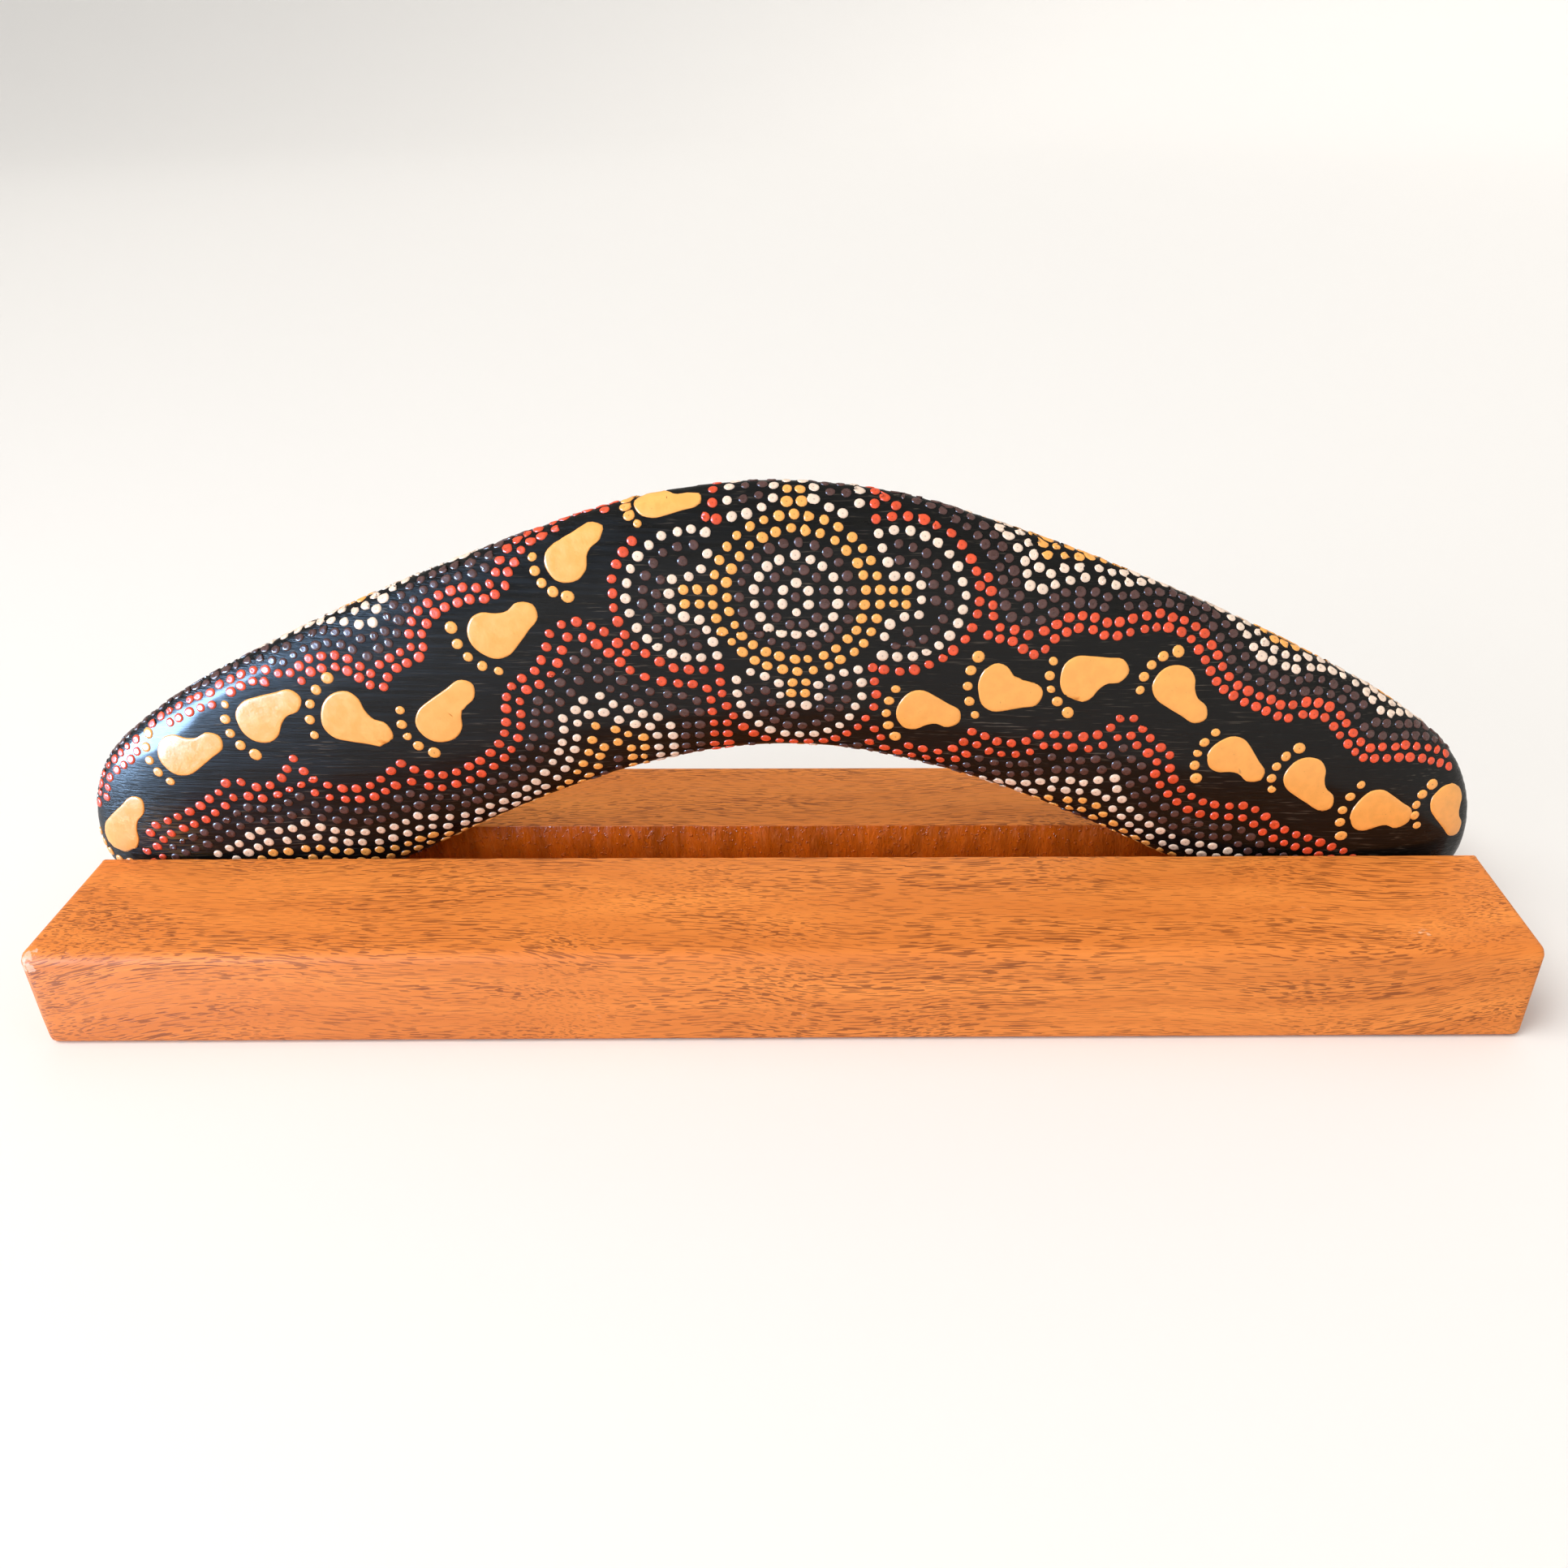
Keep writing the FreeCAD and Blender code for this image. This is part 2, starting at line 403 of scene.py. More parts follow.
def routed_hardwood(settings):
    """The groove's walls: darker, torn by the cutter in upright ridges, and thick with lacquer."""
    recipe = Recipe("routed_hardwood")
    facets = recipe.noise((150, 60, 40), detail=4, roughness=0.65)
    torn = recipe.noise((700, 500, 260), detail=3)
    beads = recipe.noise((900, 900, 900), detail=1)
    tone = recipe.mix(recipe.ramp(facets, 0.3, 0.66), tuple(c * 0.6 for c in settings.cut_wood),
                      tuple(settings.cut_wood))
    tone = recipe.mix(recipe.ramp(torn, 0.55, 0.75, 0.0, 0.25), tone, tuple(settings.light_wood))
    recipe.relief((facets, 1.2 * MM), (torn, 0.45 * MM), (recipe.ramp(beads, 0.6, 0.8), 0.3 * MM))
    recipe.set(Specular_IOR_Level=0.4, Coat_Weight=0.35, Coat_Roughness=0.15)
    return recipe.paint(tone, recipe.ramp(torn, 0.3, 0.7, 0.25, 0.5))


# ---------------------------------------------------------------------------------------------
# The sheet that the painting is laid out on
# ---------------------------------------------------------------------------------------------

# How much more skin the sheet counts up to an edge than a front view shows. The wood's oval alone would
# give about half of this; the rest closes the rows up further towards the edges.
EDGE_STRETCH = 4.8 * MM
OUTSIDE = 50 * MM  # from the wood's middle, well clear of its front and back


class Sheet:
    """The boomerang's skin, unrolled.

    Its X runs along the span from the middle and its Y up from the lowest edge, as in a front view. Past
    the outline the sheet folds round to the back.
    """

    def __init__(self, wood):
        self.skin = BVHTree.FromObject(wood, bpy.context.evaluated_depsgraph_get())
        cut = bmesh.new()
        cut.from_mesh(wood.data)
        everything = cut.verts[:] + cut.edges[:] + cut.faces[:]
        section = bmesh.ops.bisect_plane(cut, geom=everything, plane_co=WOOD_MIDDLE, plane_no=(0, 1, 0))
        rim = [v.co.copy() for v in section["geom_cut"] if isinstance(v, bmesh.types.BMVert)]
        cut.free()
        self.outline = KDTree(len(rim))
        self.outward = []
        for index, point in enumerate(rim):
            self.outline.insert((point.x - WOOD_MIDDLE.x, point.z - WOOD_LOW.z, 0), index)
            normal = self.skin.find_nearest(point)[1]
            self.outward.append(Vector((normal.x, normal.z, 0)).normalized())
        self.outline.balance()

    def inside(self, x, y):
        """How far inside the outline a place lies, negative outside, and the way to the outline."""
        foot, index, _ = self.outline.find((x, y, 0))
        outward = self.outward[index]
        return (foot - Vector((x, y, 0))).dot(outward), outward

    def wrapped(self, x, y, height):
        """The place in the part's frame of a point this high above the sheet."""
        depth, outward = self.inside(x, y)
        girth = depth + EDGE_STRETCH
        inset = math.hypot(girth, EDGE_STRETCH) - EDGE_STRETCH
        side = -1 if girth > 0 else 1
        x += outward.x * (depth - inset)
        y += outward.y * (depth - inset)
        start = Vector((WOOD_MIDDLE.x + x, WOOD_MIDDLE.y + side * OUTSIDE, WOOD_LOW.z + y))
        spot, normal, _, _ = self.skin.ray_cast(start, Vector((0, -side, 0)))
        if spot is None:
            start.y = WOOD_MIDDLE.y
            spot, normal, _, _ = self.skin.find_nearest(start)
        return spot + normal * height


# ---------------------------------------------------------------------------------------------
# Rows: smooth lines on the sheet, in millimetres, with dots walked along them
# ---------------------------------------------------------------------------------------------

FINE = 0.4  # mm between the points of a smooth line


def smooth(points, closed=False):
    """A line through the points that turns softly, as closely spaced points."""
    count = len(points)
    spans = count if closed else count - 1
    line = []
    for span in range(spans):
        around = (span - 1, span, span + 1, span + 2)
        if closed:
            a, b, c, d = (Vector(points[i % count]) for i in around)
        else:
            a, b, c, d = (Vector(points[min(max(i, 0), count - 1)]) for i in around)
        steps = max(1, round((c - b).length / FINE))
        for step in range(steps):
            t = step / steps
            line.append(
                0.5 * (2 * b + (c - a) * t + (2 * a - 5 * b + 4 * c - d) * t**2 + (3 * b - a - 3 * c + d) * t**3)
            )
    return line if closed else line + [Vector(points[-1])]


def beside(line, distance):
    """The line this far to the left of another. Where a bend is too tight for it, it has a gap."""
    if not distance:
        return line
    tree = KDTree(len(line))
    for index, point in enumerate(line):
        tree.insert((*point, 0), index)
    tree.balance()
    moved = []
    for before, here, after in zip(line, line[1:], line[2:]):
        along = (after - before).normalized()
        point = here + Vector((-along.y, along.x)) * distance
        if tree.find((*point, 0))[2] > abs(distance) - FINE:
            moved.append(point)
    return moved


def walk(line, pitch):
    """Points along a line, a pitch apart."""
    stops = [line[0]]
    for point in line:
        if (point - stops[-1]).length >= pitch:
            stops.append(point)
    return stops


def ring(centre, radius, count):
    angles = (2 * math.pi * (index + 0.5) / count for index in range(count))
    return [Vector((centre[0] + radius * math.cos(a), centre[1] + radius * math.sin(a))) for a in angles]


# ---------------------------------------------------------------------------------------------
# The painting's layout, in millimetres on the sheet
# ---------------------------------------------------------------------------------------------

MEDALLION = (4.7, 102.0)
RINGS = (  # radius, number of dots, colour
    (0.0, 1, "brown"),
    (3.9, 6, "white"),
    (7.6, 12, "brown"),
    (11.2, 18, "white"),
    (14.7, 23, "brown"),
    (18.3, 29, "ochre"),
    (22.0, 34, "ochre"),
)

# One lobe beside the medallion, pointing along +X from its middle: the bow round it and the finger inside.
LOBE_BOW = ((21.5, 17.0), (28.0, 18.0), (35.5, 15.5), (42.0, 9.0), (44.4, 0.0), (42.0, -9.0), (35.5, -15.5),
            (28.0, -18.0), (21.5, -17.0))
LOBE_FINGER = ((21.5, 17.0), (22.4, 13.2), (24.0, 9.4), (25.6, 5.7), (29.2, 5.6), (32.2, 4.9), (33.0, 1.9),
               (33.0, -1.9), (32.2, -4.9), (29.2, -5.6), (25.6, -5.7), (24.0, -9.4), (22.4, -13.2), (21.5, -17.0))
FINGER_FILL = (25.5, 29.2), (-1.9, 1.9)
TOP_AND_BOTTOM_WIDTH = 0.95  # of a side lobe's

# The inner row of each band, beside the track of footprints. The rows lie to the left of it, going on.
LOWER_LEFT = ((-15.3, 46), (-15.3, 60), (-15.5, 72), (-19, 79), (-30, 80.5), (-38, 83.5), (-43, 89), (-48, 93),
              (-54, 95), (-60, 93), (-63, 86), (-67, 80), (-73, 76.5), (-75, 70), (-76, 63), (-80, 56), (-87, 51),
              (-95, 47.5), (-102, 48.5), (-107, 52), (-112, 47.5), (-119, 44), (-127, 44.5), (-133, 48),
              (-136.5, 54), (-141, 48), (-148, 45), (-155, 47), (-161, 42.5), (-168, 37.5), (-176, 34),
              (-183, 30), (-187, 24), (-184, 14), (-176, 6))
UPPER_LEFT = ((-197, 36), (-193, 46), (-186, 51.5), (-178, 58.5), (-170, 64.5), (-162, 68.5), (-157, 70),
              (-151, 74), (-143, 77), (-137, 76), (-131, 77), (-125, 81), (-118, 81), (-112, 77), (-108.5, 75),
              (-105, 80.5), (-99, 83.5), (-95.5, 86), (-95, 92), (-91, 97), (-84, 100.5), (-76, 101.5),
              (-72, 104), (-70, 109.5), (-66, 115.5), (-58, 120.5), (-48, 124.8), (-40, 128), (-30, 131))
UPPER_RIGHT = ((24.8, 140), (24.8, 131), (26, 124.5), (32, 122.8), (39, 120), (46, 115), (51, 108.5),
               (53, 101), (53.5, 94.5), (57, 90.5), (63, 89), (69, 85.5), (74, 90.5), (81, 93), (88, 90.5),
               (95, 92), (103, 93), (110, 90), (115, 83.5), (119, 76.5), (125, 72), (132, 69), (139, 66),
               (146, 67), (152, 65), (157, 59), (163, 53.5), (170, 53), (178, 53), (185, 51.5), (192, 49))
LOWER_RIGHT = ((178, 7), (171, 14), (165, 20), (157, 24), (148, 27), (141, 31), (134, 36.5), (126, 37),
               (119, 38.5), (112, 43.5), (108.5, 49), (108, 54), (102, 59.5), (98.5, 64), (94.5, 68), (91, 63.5),
               (86, 60), (79, 60), (72, 60.5), (66, 57.5), (59, 57.5), (53, 61), (48.5, 55.5), (44, 53),
               (36, 54), (29, 56.5), (25, 60.5), (24.8, 70), (24.8, 79))
BAND_ROWS = ("red", "red", "brown", "brown", "white", "white", "ochre", "ochre") + ("brown",) * 4
UPPER_SPACING = 0.87  # of the row pitch, in the two bands along the upper edge
BANDS = ((LOWER_LEFT, 1.0), (UPPER_LEFT, UPPER_SPACING), (UPPER_RIGHT, UPPER_SPACING), (LOWER_RIGHT, 1.0))

# Footprints from left to right, left foot and right foot by turns: middle, the heel's heading in degrees,
# length and breadth against the sole below, and how many degrees the toes are swung towards the big toe.
FOOTPRINTS = (
    (-191.7, 30, 48, 1.18, 0.88, 0),
    (-166.3, 56, 27, 1.0, 0.97, 12),
    (-141.3, 67, 25, 1.04, 1.02, 0),
    (-117.5, 66, -23, 1.0, 1.16, 0),
    (-91.7, 67.8, 45, 1.12, 1.0, -14),
    (-73.9, 93, 40, 1.02, 1.06, 0),
    (-53, 113.5, 42, 0.96, 0.87, 0),
    (-29.0, 127.9, 8, 0.86, 0.7, 0),
    (39.2, 66.8, -20, 0.88, 1.04, 22),
    (61.2, 75, -3, 0.88, 1.18, 0),
    (84.0, 78.7, 7, 0.93, 1.07, 12),
    (109.2, 74, -43, 0.99, 0.93, 0),
    (126.8, 52.6, -44, 0.92, 1.0, 32),
    (149.7, 45.4, -45, 0.98, 0.95, -18),
    (171.4, 35, -22, 0.9, 1.15, 15),
    (194, 35, -58, 0.98, 0.87, -46),
)
SOLE = ((-9.0, 0.6), (-7.6, 4.4), (-4.2, 6.6), (-0.6, 6.0), (2.0, 3.6), (4.8, 2.2), (8.4, 2.2), (11.2, -0.6),
        (9.6, -4.0), (5.2, -4.9), (0.8, -5.8), (-3.8, -6.3), (-7.6, -4.2))
TOES = (  # x, y, size against a usual dot
    (-9.7, 8.1, 1.28),
    (-11.7, 4.1, 1.1),
    (-12.2, 0.0, 1.0),
    (-11.2, -4.0, 1.05),
    (-9.0, -7.6, 0.92),
)

# How uneven the hand is.
SHAKE = 0.16  # mm that a dot is usually out of place by, each way
SIZE_SPREAD = 0.07
SIZE_LIMITS = (0.82, 1.18)
OVAL_LIMITS = (0.94, 1.06)
HEIGHT_LIMITS = (0.85, 1.15)

CELL = 4.0  # mm, the squares of the grid that finds what is near. No gap may be wider
SOLE_STEP = 3  # a sole's edge takes every third point of its smooth line


def cell(place):
    return int(place.x // CELL), int(place.y // CELL)


def sole_edge(points):
    return smooth(points, closed=True)[::SOLE_STEP]


class Painting:
    """Where each dot and footprint goes. What is painted first keeps its place."""

    def __init__(self, sheet, settings):
        self.sheet = sheet
        self.pitch = settings.row_pitch / MM
        self.gap = settings.least_gap / MM
        self.wrap = settings.wrap / MM
        self.size = settings.dot_size / MM
        self.chance = random.Random(settings.seed)
        self.dots = {colour: [] for colour in ("red", "white", "ochre", "brown")}
        self.toes = []
        self.soles = []
        self.taken = {}

    def crowded(self, place):
        column, row = cell(place)
        nearby = (self.taken.get((column + i, row + j), ()) for i in (-1, 0, 1) for j in (-1, 0, 1))
        return any((place - other).length < self.gap for square in nearby for other in square)

    def claim(self, place):
        self.taken.setdefault(cell(place), []).append(place)

    def dab(self, colour, place):
        """A dot, unless it would touch another or fall past the painted margin of the back."""
        shaken = place + Vector((self.chance.gauss(0, SHAKE), self.chance.gauss(0, SHAKE)))
        depth, _ = self.sheet.inside(shaken.x * MM, shaken.y * MM)
        if (depth + EDGE_STRETCH) / MM < -self.wrap or self.crowded(shaken):
            return
        self.claim(shaken)
        least, most = SIZE_LIMITS
        size = self.size * min(max(self.chance.gauss(1.0, SIZE_SPREAD), least), most)
        self.dots[colour].append((shaken, size))

    def row(self, colour, line, spacing=1.0):
        for place in walk(line, spacing * self.pitch) if line else ():
            self.dab(colour, place)

    def footprint(self, x, y, heading, length, breadth, swing, hand):
        turn = Matrix.Rotation(math.radians(heading), 2)
        toes_turn = Matrix.Rotation(math.radians(heading - hand * swing), 2)
        middle = Vector((x, y))
        edge = [middle + turn @ Vector((u * length, v * breadth * hand)) for u, v in SOLE]
        self.soles.append(edge)
        for place in sole_edge(edge):
            self.claim(place)
        for u, v, size in TOES:
            place = middle + toes_turn @ Vector((u * length, v * breadth * hand))
            self.toes.append((place, size * self.size))
            self.claim(place)

    def lobe(self, quarter):
        """One lobe beside the medallion, turned by quarters: its outline, finger, fill and red surround."""
        turn = Matrix.Rotation(quarter * math.pi / 2, 2)
        width = TOP_AND_BOTTOM_WIDTH if quarter % 2 else 1.0
        middle = Vector(MEDALLION)

        def placed(points):
            return [middle + turn @ Vector((u, v * width)) for u, v in points]

        bow, finger = smooth(placed(LOBE_BOW)), smooth(placed(LOBE_FINGER))
        self.row("white", bow)
        self.row("white", finger)
        columns, rows = FINGER_FILL
        for u in columns:
            for v in rows:
                self.dab("ochre", placed([(u, v)])[0])
        for step in (1, 2):
            self.row("brown", beside(bow, -step * self.pitch))
        return beside(bow, self.pitch)

    def paint(self):
        for index, footprint in enumerate(FOOTPRINTS):
            self.footprint(*footprint, hand=1 if index % 2 else -1)
        for radius, count, colour in RINGS:
            for place in ring(MEDALLION, radius, count):
                self.dab(colour, place)
        surrounds = [self.lobe(quarter) for quarter in range(4)]
        for line in surrounds:
            self.row("red", line)
        for line, spacing in BANDS:
            inner = smooth(line)
            for step, colour in enumerate(BAND_ROWS):
                self.row(colour, beside(inner, step * spacing * self.pitch), spacing)


# ---------------------------------------------------------------------------------------------
# Pieces
# ---------------------------------------------------------------------------------------------


class BOOMERANG_OT_carve(bpy.types.Operator):
    """Model the boomerang's wood: smooth, and a little uneven as hand shaping leaves it"""

    bl_idname = "boomerang.carve"
    bl_label = "Boomerang"

    def execute(self, context):
        cad = frame["nodes"]["boomerang"]
        pick(cad)
        bpy.ops.object.duplicate()
        wood = context.active_object
        wood.parent = None
        edit(wood)
        edit_selected(
            (bpy.ops.mesh.select_all, {"action": "SELECT"}),
            (bpy.ops.mesh.remove_doubles, {"threshold": 0.01 * MM}),
        )
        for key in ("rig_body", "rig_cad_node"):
            del wood[key]
        apply_modifier(wood, "REMESH", mode="VOXEL", voxel_size=1.15 * MM)
        apply_modifier(wood, "SHRINKWRAP", target=cad)
        apply_modifier(wood, "SMOOTH", factor=0.5, iterations=6)
        shaping = bpy.data.textures.new("hand_shaping", "CLOUDS")
        shaping.noise_scale = 0.035
        apply_modifier(wood, "DISPLACE", texture=shaping, strength=0.25 * MM, mid_level=0.5)
        bpy.ops.object.shade_smooth()
        material = black_lacquer(context.scene.boomerang_paint)
        finish_piece(wood, "boomerang_wood", "boomerang", material)
        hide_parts("boomerang")
        return {"FINISHED"}


SUNK = 0.3 * MM  # how far the paint's foot reaches into the wood
DOT_LEVELS = ((0.98, 0.25), (0.8, 0.85), (0.45, 1.0))  # share of the width, share of the height
DOT_DIMPLE = 0.35  # of the height
SOLE_LEVELS = ((1.0, 0.3), (0.965, 0.85), (0.92, 1.0), (0.72, 1.04), (0.5, 0.98), (0.26, 1.03))


def raise_paint(patch, levels, height, middle=(0, 0), dimple=0.0):
    """Pulls a flat patch of one face up through the levels and closes it with a point in its middle."""
    bottom, width = -SUNK, 1.0
    steps = []
    for wide, share in levels:
        top, scale = share * height, wide / width
        lift = {"TRANSFORM_OT_translate": {"value": (0, 0, top - bottom)}}
        narrow = {"value": (scale, scale, 1), "center_override": (*middle, 0)}
        steps += [(bpy.ops.mesh.extrude_region_move, lift), (bpy.ops.transform.resize, narrow)]
        bottom, width = top, wide
    edit(patch)
    patch.data.polygons[0].select = True
    edit_selected(*steps, (bpy.ops.mesh.poke, {"offset": -dimple * height}))
    edit(patch)
    edit_selected(
        (bpy.ops.mesh.select_all, {"action": "SELECT"}),
        (bpy.ops.mesh.normals_make_consistent, {"inside": False}),
    )
    bpy.ops.object.shade_smooth()


def dot_template(height):
    """A blob of paint of radius 1 on the sheet: sunk rim, round shoulder, and the dimple that the stick left."""
    bpy.ops.mesh.primitive_circle_add(vertices=12, radius=1, fill_type="NGON", location=(0, 0, -SUNK))
    dot = bpy.context.active_object
    apply_place(dot)
    raise_paint(dot, DOT_LEVELS, height, dimple=DOT_DIMPLE)
    # Marks the dimple's middle, where the paint's material darkens the colour as painted shade.
    hollow = dot.data.attributes.new("hollow", "FLOAT", "POINT")
    for vertex, value in zip(dot.data.vertices, hollow.data):
        value.value = 1.0 if Vector(vertex.co[:2]).length < 0.1 else 0.0
    return dot


def sole_template(edge, height):
    """A flat patch of paint inside an edge, in millimetres on the sheet, with rings that let it bend."""
    line = [point * MM for point in sole_edge(edge)]
    bpy.ops.mesh.primitive_circle_add(vertices=len(line), radius=1, fill_type="NGON")
    sole = bpy.context.active_object
    for vertex, point in zip(sole.data.vertices, line):
        vertex.co = (point.x, point.y, -SUNK)
    raise_paint(sole, SOLE_LEVELS, height, middle=sum(line, Vector((0, 0))) / len(line))
    return sole


def copies_joined(template, dots, chance):
    """One mesh of a copy of the template at each dot, a little oval and turned any way."""
    copies = []
    for place, size in dots:
        copy = template.copy()
        copy.data = template.data.copy()
        bpy.context.collection.objects.link(copy)
        oval = chance.uniform(*OVAL_LIMITS)
        copy.location = (place.x * MM, place.y * MM, 0)
        copy.rotation_euler.z = chance.uniform(0, 2 * math.pi)
        copy.scale = (size / 2 * MM * oval, size / 2 * MM / oval, chance.uniform(*HEIGHT_LIMITS))
        copies.append(copy)
    pick(*copies)
    bpy.ops.object.join()
    joined = bpy.context.active_object
    apply_place(joined)
    return joined


def wrap_round(piece, sheet):
    """Lays a piece that was modelled flat on the sheet round the boomerang."""
    for vertex in piece.data.vertices:
        vertex.co = sheet.wrapped(*vertex.co)


class BOOMERANG_OT_paint(bpy.types.Operator):
    """Paint the rows of dots and the footprints, and wrap them round the boomerang"""

    bl_idname = "boomerang.paint"
    bl_label = "Dots and footprints"

    def execute(self, context):
        settings = context.scene.boomerang_paint
        sheet = Sheet(bpy.data.objects["boomerang_wood"])
        painting = Painting(sheet, settings)
        painting.paint()
        chance = random.Random(settings.seed + 1)
        paints = {
            "red": acrylic("red_acrylic", settings.red, 0.72),
            "white": acrylic("white_acrylic", settings.white, 0.84),
            "ochre": acrylic("ochre_acrylic", settings.ochre, 0.9),
            "brown": acrylic("brown_acrylic", settings.brown, 0.7, 0.3),
        }
        template = dot_template(settings.dot_height)
        for colour, dots in painting.dots.items():
            piece = copies_joined(template, dots, chance)
            wrap_round(piece, sheet)
            finish_piece(piece, f"{colour}_dots", "boomerang", paints[colour])
        toes = copies_joined(template, painting.toes, chance)
        wrap_round(toes, sheet)
        finish_piece(toes, "toe_dots", "boomerang", paints["ochre"])
        soles = [sole_template(edge, settings.footprint_height) for edge in painting.soles]
        pick(*soles)
        bpy.ops.object.join()
        footprints = context.active_object
        wrap_round(footprints, sheet)
        finish_piece(footprints, "footprint_soles", "boomerang", paints["ochre"])
        bpy.data.objects.remove(template)
        return {"FINISHED"}


def select_edges(piece, test):
    """Selects the edges whose two ends both pass the test."""
    spots = [vertex.co for vertex in piece.data.vertices]
    for edge_line in piece.data.edges:
        edge_line.select = all(test(spots[index]) for index in edge_line.vertices)


NEAR = 0.01 * MM  # an edge whose ends are nearer to a plane than this lies on it
SLACK = 0.05 * MM  # round the region that counts as the groove's wall
PLAIN_END = 4 * MM  # of the groove's walls, at each end, without cutter marks
BROAD_MARKS = 130  # grain of the cutter's broad marks along the groove, per metre
FINE_MARKS = (700, 60)  # and of its fine marks, along the groove and up its wall
FINE_DEPTH = 0.35  # of the broad marks' depth
KNOCKED_CORNER = Vector((BLOCK_LOW.x, BLOCK_LOW.y, BLOCK_HIGH.z))
KNOCK_WAY = Vector((0.6, 0.55, -0.6)).normalized()
KNOCK_REACH = 7 * MM
KNOCK_DEPTH = 1.2 * MM


def rounding(ends, settings):
    """The radius that one of the block's edges gets, by where its ends are. Edges within a face get none."""

    def lie(axis, *planes):
        return any(all(abs(end[axis] - plane) < NEAR for end in ends) for plane in planes)

    block_end, outside, lip = (
        lie(0, BLOCK_LOW.x, BLOCK_HIGH.x),
        lie(1, BLOCK_LOW.y, BLOCK_HIGH.y),
        lie(1, GROOVE_FRONT, GROOVE_BACK),
    )
    top, foot = lie(2, BLOCK_HIGH.z), lie(2, BLOCK_LOW.z)
    if block_end and (outside or top or foot):
        return settings.end_round
    if lip and (block_end or top):
        return settings.lip_round
    if outside and top:
        return settings.top_round
    return settings.foot_round if outside and foot else 0.0


class BOOMERANG_OT_block(bpy.types.Operator):
    """Model the display block: a length of hardwood with a routed groove and softened edges"""

    bl_idname = "boomerang.block"
    bl_label = "Display block"

    def execute(self, context):
        settings = context.scene.boomerang_block
        size = BLOCK_HIGH - BLOCK_LOW
        middle = (BLOCK_LOW + BLOCK_HIGH) / 2
        bpy.ops.object.select_all(action="DESELECT")
        bpy.ops.mesh.primitive_cube_add(
            size=1, location=(middle.x, middle.y, GROOVE_FLOOR / 2), scale=(size.x, size.y, GROOVE_FLOOR)
        )
        block = context.active_object
        apply_place(block)
        self.raise_rails(block)
        self.slice(block)
        self.soften(block, settings)
        self.roughen(block, settings)
        pick(block)
        bpy.ops.object.shade_smooth_by_angle(angle=math.radians(35))
        finish_piece(block, "display_block", "stand", lacquered_hardwood(settings))
        block.data.materials.append(routed_hardwood(settings))
        self.line_groove(block)
        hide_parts("stand_block")
        return {"FINISHED"}

    def line_groove(self, block):
        """Gives the groove's floor and walls the second material, up to the lips."""
        for face in block.data.polygons:
            across = GROOVE_FRONT - 0.3 * MM < face.center.y < GROOVE_BACK + 0.3 * MM
            below_lip = GROOVE_FLOOR - 1 * MM < face.center.z < BLOCK_HIGH.z - 0.5 * MM
            if across and below_lip and abs(face.normal.x) < 0.7:
                face.material_index = 1

    def raise_rails(self, block):
        """Cuts the slab's top along the groove and pulls up a rail on each side."""
        edit(block)
        for wall in (GROOVE_FRONT, GROOVE_BACK):
            edit_selected(
                (bpy.ops.mesh.select_all, {"action": "SELECT"}),
                (bpy.ops.mesh.bisect, {"plane_co": (0, wall, 0), "plane_no": (0, 1, 0)}),
            )
        edit(block)
        for face in block.data.polygons:
            rail = face.center.y < GROOVE_FRONT or face.center.y > GROOVE_BACK
            face.select = face.normal.z > 0.9 and rail
        rise = BLOCK_HIGH.z - GROOVE_FLOOR
        edit_selected((bpy.ops.mesh.extrude_region_move, {"TRANSFORM_OT_translate": {"value": (0, 0, rise)}}))

    def slice(self, block):
        """Divides the block along its length, so that the cutter's marks have something to move."""
        edit(block, "EDGE")
        spots = [vertex.co for vertex in block.data.vertices]
        for line in block.data.edges:
            a, b = (spots[index] for index in line.vertices)
            line.select = abs(a.x - b.x) > 1 * MM
        edit_selected((bpy.ops.mesh.subdivide, {"number_cuts": 360}))

    def soften(self, block, settings):
        """Rounds each sharp edge by its own radius."""
        weights = block.data.attributes.new("bevel_weight_edge", "FLOAT", "EDGE")
        spots = [vertex.co for vertex in block.data.vertices]
        for line in block.data.edges:
            ends = [spots[index] for index in line.vertices]
            weights.data[line.index].value = rounding(ends, settings) / settings.top_round
        apply_modifier(block, "BEVEL", limit_method="WEIGHT", width=settings.top_round, segments=5)

    def wall_side(self, spot, lip_round):
        """-1 on the groove's front wall, 1 on its back wall, 0 anywhere else."""
        if spot.z > GROOVE_FLOOR - SLACK and abs(spot.x) < BLOCK_HIGH.x - PLAIN_END:
            for wall, side in ((GROOVE_FRONT, -1), (GROOVE_BACK, 1)):
                if -SLACK < (spot.y - wall) * side < lip_round + SLACK:
                    return side
        return 0

    def roughen(self, block, settings):
        """Leaves the cutter's upright marks in the groove's walls, and a knocked corner."""
        for vertex in block.data.vertices:
            spot = vertex.co
            side = self.wall_side(spot, settings.lip_round)
            if side:
                along, up = FINE_MARKS
                broad = noise.noise((spot.x * BROAD_MARKS, 3.7 + side, 0))
                fine = noise.noise((spot.x * along, 9.1 + side, spot.z * up))
                spot.y += side * (abs(broad) + FINE_DEPTH * abs(fine)) * settings.chatter
            reach = (spot - KNOCKED_CORNER).length / KNOCK_REACH
            if reach < 1:
                spot += KNOCK_WAY * (1 - reach) ** 2 * KNOCK_DEPTH


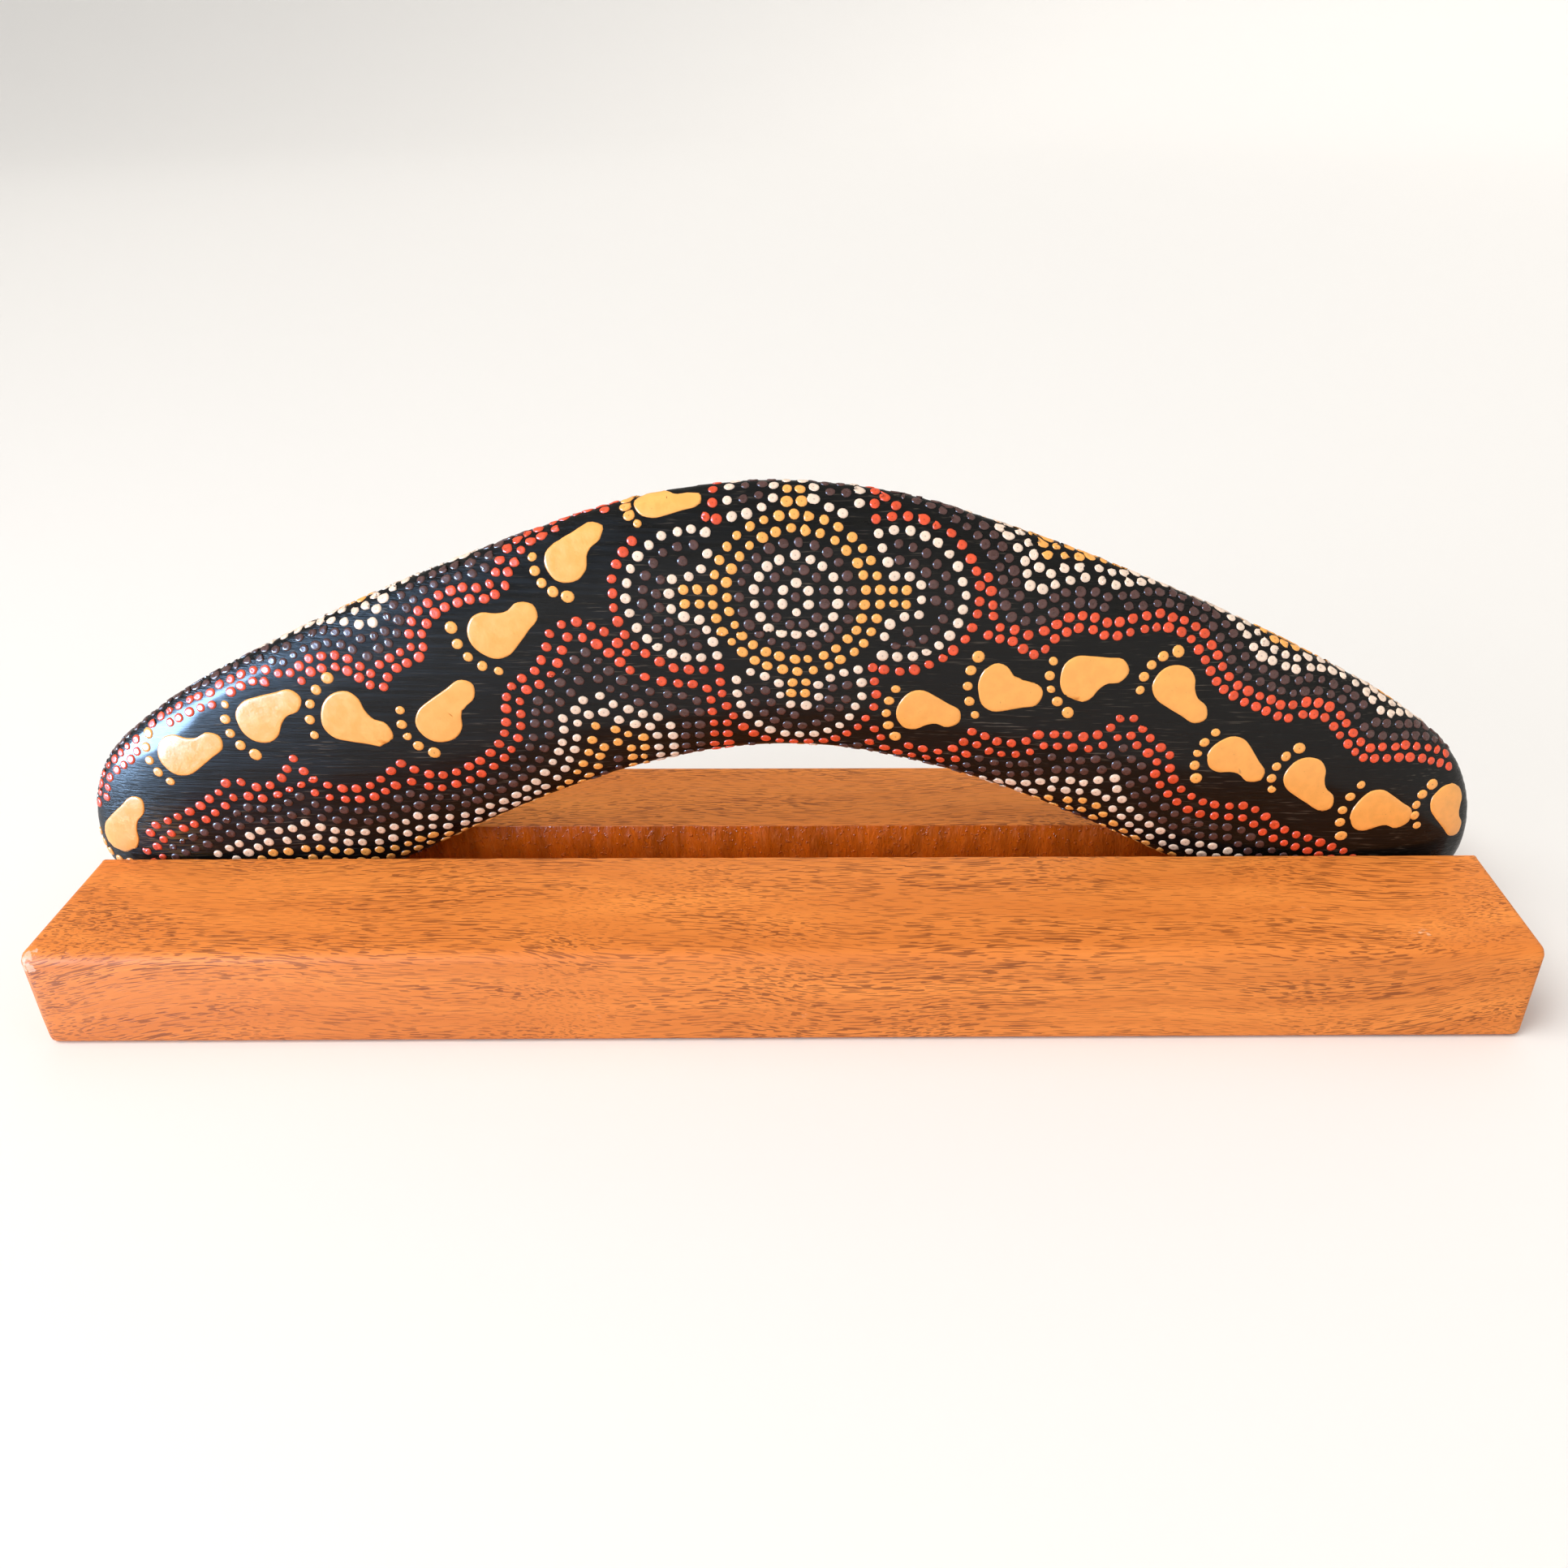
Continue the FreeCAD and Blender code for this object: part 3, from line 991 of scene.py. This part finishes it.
FLOOR_RADIUS = 4.5
FLOOR_BELOW = 0.05 * MM  # the block's underside, so that the two don't share a face
WALL_HEIGHT = 3.5
WALL_BEND = 1.6
ROOM_COLOUR = (1.0, 0.99, 0.975)
SUN_WIDTH = 36  # degrees across, for soft shadows
LAMPS = (  # name and setting, place, colour, size of an area lamp
    ("key", (-0.6, -0.22, 1.0), (1.0, 0.955, 0.9), None),
    ("window", (-0.87, -0.46, 0.07), (0.4, 0.64, 1.0), (0.45, 0.3)),
    ("fill", (-0.8, -0.65, 0.35), (1.0, 0.95, 0.95), (0.6, 0.4)),
)
CAMERA_PLACE = (0.0181, -0.3192, 0.2403)
CAMERA_DOWN, CAMERA_RIGHT, CAMERA_ROLL = 30.54, 0.815, 0.28  # degrees
CAMERA_SHIFT = -0.0558  # of the frame's width


class BOOMERANG_OT_stage(bpy.types.Operator):
    """Set the floor, the lights and the camera"""

    bl_idname = "boomerang.stage"
    bl_label = "Stage"

    def execute(self, context):
        settings = context.scene.boomerang_stage
        self.floor(settings)
        self.lights(context, settings)
        self.camera(context, settings)
        return {"FINISHED"}

    def floor(self, settings):
        """A wide floor that curves up into plain walls."""
        bpy.ops.object.select_all(action="DESELECT")
        bpy.ops.mesh.primitive_circle_add(
            vertices=64, radius=FLOOR_RADIUS, fill_type="NGON", location=(0, 0, -FLOOR_BELOW)
        )
        floor = bpy.context.active_object
        floor.name = "floor"
        apply_place(floor)
        edit(floor, "EDGE")
        select_edges(floor, lambda spot: True)
        edit_selected((bpy.ops.mesh.extrude_edges_move, {"TRANSFORM_OT_translate": {"value": (0, 0, WALL_HEIGHT)}}))
        edit(floor, "EDGE")
        select_edges(floor, lambda spot: spot.z < 1)
        edit_selected((bpy.ops.mesh.bevel, {"offset": WALL_BEND, "segments": 12}))
        bpy.ops.object.shade_smooth()
        recipe = Recipe("plain_floor")
        recipe.set(Base_Color=(*settings.floor, 1.0), Roughness=0.8)
        floor.data.materials.append(recipe.material)

    def lights(self, context, settings):
        world = bpy.data.worlds.new("soft_room")
        world.use_nodes = True
        background = world.node_tree.nodes["Background"].inputs
        background["Color"].default_value = (*ROOM_COLOUR, 1.0)
        background["Strength"].default_value = settings.room
        context.scene.world = world

        for name, place, colour, size in LAMPS:
            light = bpy.data.lights.new(name, "AREA" if size else "SUN")
            light.energy = getattr(settings, name)
            light.color = colour
            if size:
                light.shape = "RECTANGLE"
                light.size, light.size_y = size
            else:
                light.angle = math.radians(SUN_WIDTH)
            lamp = bpy.data.objects.new(name, light)
            lamp.location = place
            lamp.rotation_euler = (WOOD_MIDDLE - Vector(place)).to_track_quat("-Z", "Y").to_euler()
            # The window only shows as a reflection. The others give light and don't show in reflections.
            lamp.visible_diffuse = name != "window"
            lamp.visible_glossy = name == "window"
            context.scene.collection.objects.link(lamp)
        context.scene.view_settings.view_transform = "Standard"

    def camera(self, context, settings):
        data = bpy.data.cameras.new("camera")
        data.sensor_width = 36.0
        data.lens = settings.lens
        data.shift_x = CAMERA_SHIFT
        data.clip_start = 0.01
        camera = bpy.data.objects.new("camera", data)
        camera.matrix_world = (
            Matrix.Translation(CAMERA_PLACE)
            @ Matrix.Rotation(math.radians(-CAMERA_RIGHT), 4, "Z")
            @ Matrix.Rotation(math.radians(90 - CAMERA_DOWN), 4, "X")
            @ Matrix.Rotation(math.radians(CAMERA_ROLL), 4, "Z")
        )
        context.scene.collection.objects.link(camera)
        context.scene.camera = camera


class BOOMERANG_PT_panel(bpy.types.Panel):
    """The pieces, in the order in which they are made"""

    bl_idname = "BOOMERANG_PT_panel"
    bl_label = "Boomerang"
    bl_space_type = "VIEW_3D"
    bl_region_type = "UI"
    bl_category = "Boomerang"

    def draw(self, context):
        for operator in OPERATORS:
            self.layout.operator(operator.bl_idname)
        for group in SETTINGS:
            settings = getattr(context.scene, group)
            for name in settings.__annotations__:
                self.layout.prop(settings, name)


OPERATORS = (BOOMERANG_OT_carve, BOOMERANG_OT_paint, BOOMERANG_OT_block, BOOMERANG_OT_stage)
SETTINGS = {
    "boomerang_paint": PaintSettings,
    "boomerang_block": BlockSettings,
    "boomerang_stage": StageSettings,
}


def register():
    for item in (*SETTINGS.values(), *OPERATORS, BOOMERANG_PT_panel):
        bpy.utils.register_class(item)
    for name, group in SETTINGS.items():
        setattr(bpy.types.Scene, name, PointerProperty(type=group))


def unregister():
    for name in SETTINGS:
        delattr(bpy.types.Scene, name)
    for item in (BOOMERANG_PT_panel, *reversed(OPERATORS), *reversed(SETTINGS.values())):
        bpy.utils.unregister_class(item)


def main():
    register()
    bpy.ops.boomerang.carve()
    bpy.ops.boomerang.paint()
    bpy.ops.boomerang.block()
    bpy.ops.boomerang.stage()


if __name__ == "__main__":
    main()
